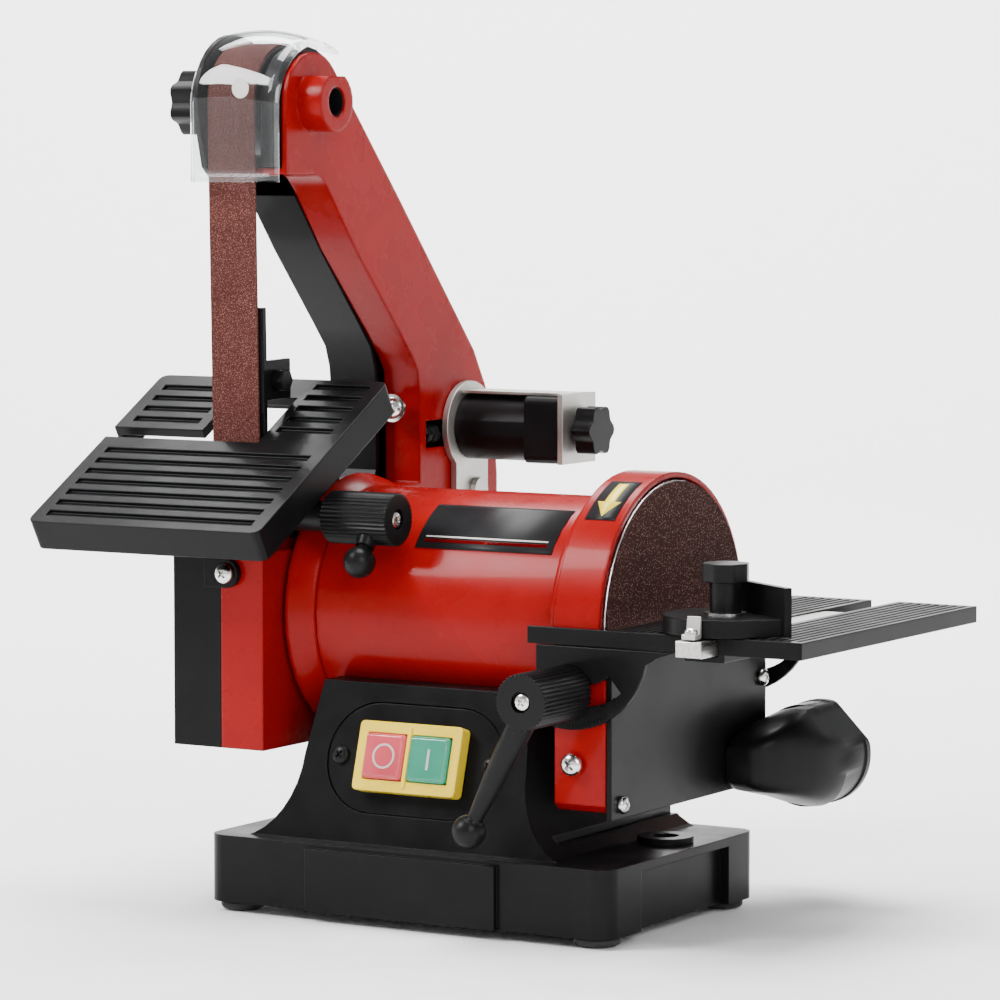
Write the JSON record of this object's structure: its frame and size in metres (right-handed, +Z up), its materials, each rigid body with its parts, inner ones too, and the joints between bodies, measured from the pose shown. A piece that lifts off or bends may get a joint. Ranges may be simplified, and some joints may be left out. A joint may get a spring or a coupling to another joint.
{
  "type": "belt disc sander",
  "caption": "Bench belt and disc sander: upright narrow belt on a red and black arm, side disc with table and mitre gauge, motor on a black base.",
  "frame": {"origin": "middle of the object's box on the surface under its feet", "axes": "+X along the motor shaft from the belt to the disc, +Y from the front (switch) to the back, +Z up"},
  "size_m": [0.3662, 0.252, 0.3929],
  "materials": {
    "black_paint": "satin black powder coat",
    "red_paint": "glossy red paint",
    "black_plastic": "black moulded plastic",
    "rubber": "matt black rubber",
    "clear_plastic": "clear polycarbonate",
    "zinc_steel": "zinc plated steel",
    "bright_steel": "ground steel",
    "cast_aluminium": "machined aluminium",
    "abrasive_cloth": "maroon abrasive grit on cloth",
    "yellow_plastic": "yellow switch housing",
    "red_plastic": "red push button",
    "green_plastic": "green push button",
    "copper": "enamelled copper winding"
  },
  "bodies": {
    "base": {"base_casting": "black_paint", "foot_front_left": "rubber", "foot_front_right": "rubber", "foot_rear_left": "rubber", "foot_rear_right": "rubber", "switch_plate": "black_plastic", "switch_bezel": "yellow_plastic", "capacitor": "black_plastic", "cable_gland": "rubber", "motor_shell": "red_paint", "end_bell_left": "red_paint", "end_bell_right": "red_paint", "stator": "copper", "bearing_left": "bright_steel", "bearing_right": "bright_steel", "belt_frame": "red_paint", "belt_cover": "black_paint", "cover_screw": "zinc_steel", "upper_axle": "bright_steel", "wheel_shroud": "black_plastic", "upper_guard": "clear_plastic", "tension_pin": "zinc_steel", "tension_spring": "bright_steel", "abrasive_belt": "abrasive_cloth", "platen": "zinc_steel", "platen_bolt": "zinc_steel", "frame_bolt": "zinc_steel", "dust_cover_screw_front": "zinc_steel", "dust_cover_screw_rear": "zinc_steel", "guard_screw": "zinc_steel", "disc_guard": "red_paint", "dust_cover": "black_paint", "dust_port": "black_plastic"},
    "rotor": {"motor_shaft": "bright_steel", "rotor_core": "bright_steel", "cooling_fan": "black_plastic", "drive_wheel": "cast_aluminium", "disc_plate": "cast_aluminium", "abrasive_disc": "abrasive_cloth"},
    "upper_wheel": {"upper_wheel": "black_plastic"},
    "tension_arm": {"tension_plate": "zinc_steel", "idler_axle": "bright_steel", "tracking_housing": "black_plastic", "tracking_strip": "zinc_steel"},
    "idler": {"idler_wheel": "black_plastic"},
    "tracking_knob": {"tracking_knob": "black_plastic"},
    "cover_knob": {"cover_knob": "black_plastic"},
    "belt_table": {"belt_table": "black_paint", "belt_table_bracket": "black_paint"},
    "belt_table_lock": {"belt_table_lock": "black_plastic"},
    "disc_table": {"disc_table": "black_paint", "quadrant_front": "black_paint", "quadrant_rear": "black_paint"},
    "disc_table_lock": {"disc_table_lock": "black_plastic"},
    "mitre_bar": {"mitre_bar": "bright_steel", "mitre_pointer": "zinc_steel"},
    "mitre_head": {"mitre_head": "black_paint"},
    "mitre_knob": {"mitre_knob": "black_plastic"},
    "off_button": {"off_button": "red_plastic"},
    "on_button": {"on_button": "green_plastic"}
  },
  "joints": [
    {"name": "rotor_spin", "type": "hinge", "parent": "base", "child": "rotor", "pos_m": [0, -0.0115, 0.131], "axis": [1, 0, 0], "continuous": true},
    {"name": "upper_wheel_spin", "type": "hinge", "parent": "base", "child": "upper_wheel", "pos_m": [-0.1152, -0.0354, 0.3594], "axis": [1, 0, 0], "continuous": true},
    {"name": "tension_arm_swing", "type": "hinge", "parent": "base", "child": "tension_arm", "pos_m": [-0.0856, 0.1005, 0.175], "axis": [1, 0, 0], "range_deg": [0, 4]},
    {"name": "idler_spin", "type": "hinge", "parent": "tension_arm", "child": "idler", "pos_m": [-0.1152, 0.0975, 0.206], "axis": [1, 0, 0], "continuous": true},
    {"name": "tracking_knob_turn", "type": "hinge", "parent": "tension_arm", "child": "tracking_knob", "pos_m": [-0.0176, 0.0957, 0.206], "axis": [1, 0, 0], "range_deg": [-360, 360]},
    {"name": "cover_knob_turn", "type": "hinge", "parent": "base", "child": "cover_knob", "pos_m": [-0.1496, -0.0354, 0.3594], "axis": [1, 0, 0], "range_deg": [-1080, 0]},
    {"name": "belt_table_tilt", "type": "hinge", "parent": "base", "child": "belt_table", "pos_m": [-0.0856, -0.059, 0.21], "axis": [1, 0, 0], "range_deg": [-29.7, 8]},
    {"name": "belt_table_lock_turn", "type": "hinge", "parent": "base", "child": "belt_table_lock", "pos_m": [-0.0536, -0.0665, 0.1752], "axis": [1, 0, 0], "range_deg": [-90, 15]},
    {"name": "disc_table_tilt", "type": "hinge", "parent": "base", "child": "disc_table", "pos_m": [0.0784, 0.0065, 0.129], "axis": [0, 1, 0], "range_deg": [0, 45]},
    {"name": "disc_table_lock_turn", "type": "hinge", "parent": "base", "child": "disc_table_lock", "pos_m": [0.0714, -0.1015, 0.106], "axis": [0, 1, 0], "range_deg": [-60, 60]},
    {"name": "mitre_slide", "type": "slide", "parent": "disc_table", "child": "mitre_bar", "axis": [0, 1, 0], "range_m": [-0.03, 0.14]},
    {"name": "mitre_swivel", "type": "hinge", "parent": "mitre_bar", "child": "mitre_head", "pos_m": [0.1372, -0.0615, 0.1337], "axis": [0, 0, 1], "range_deg": [-26, 94]},
    {"name": "mitre_knob_turn", "type": "hinge", "parent": "mitre_head", "child": "mitre_knob", "pos_m": [0.1372, -0.0615, 0.159], "axis": [0, 0, 1], "range_deg": [-180, 180]},
    {"name": "off_button_press", "type": "slide", "parent": "base", "child": "off_button", "axis": [0, 0.9603, -0.279], "range_m": [0, 0.003], "stiffness_N_per_m": 400},
    {"name": "on_button_press", "type": "slide", "parent": "base", "child": "on_button", "axis": [0, 0.9603, -0.279], "range_m": [0, 0.003], "stiffness_N_per_m": 400}
  ],
  "couplings": [
    {"joint": "upper_wheel_spin", "follows": "rotor_spin", "ratio": 1.76},
    {"joint": "idler_spin", "follows": "rotor_spin", "ratio": 2.2}
  ]
}
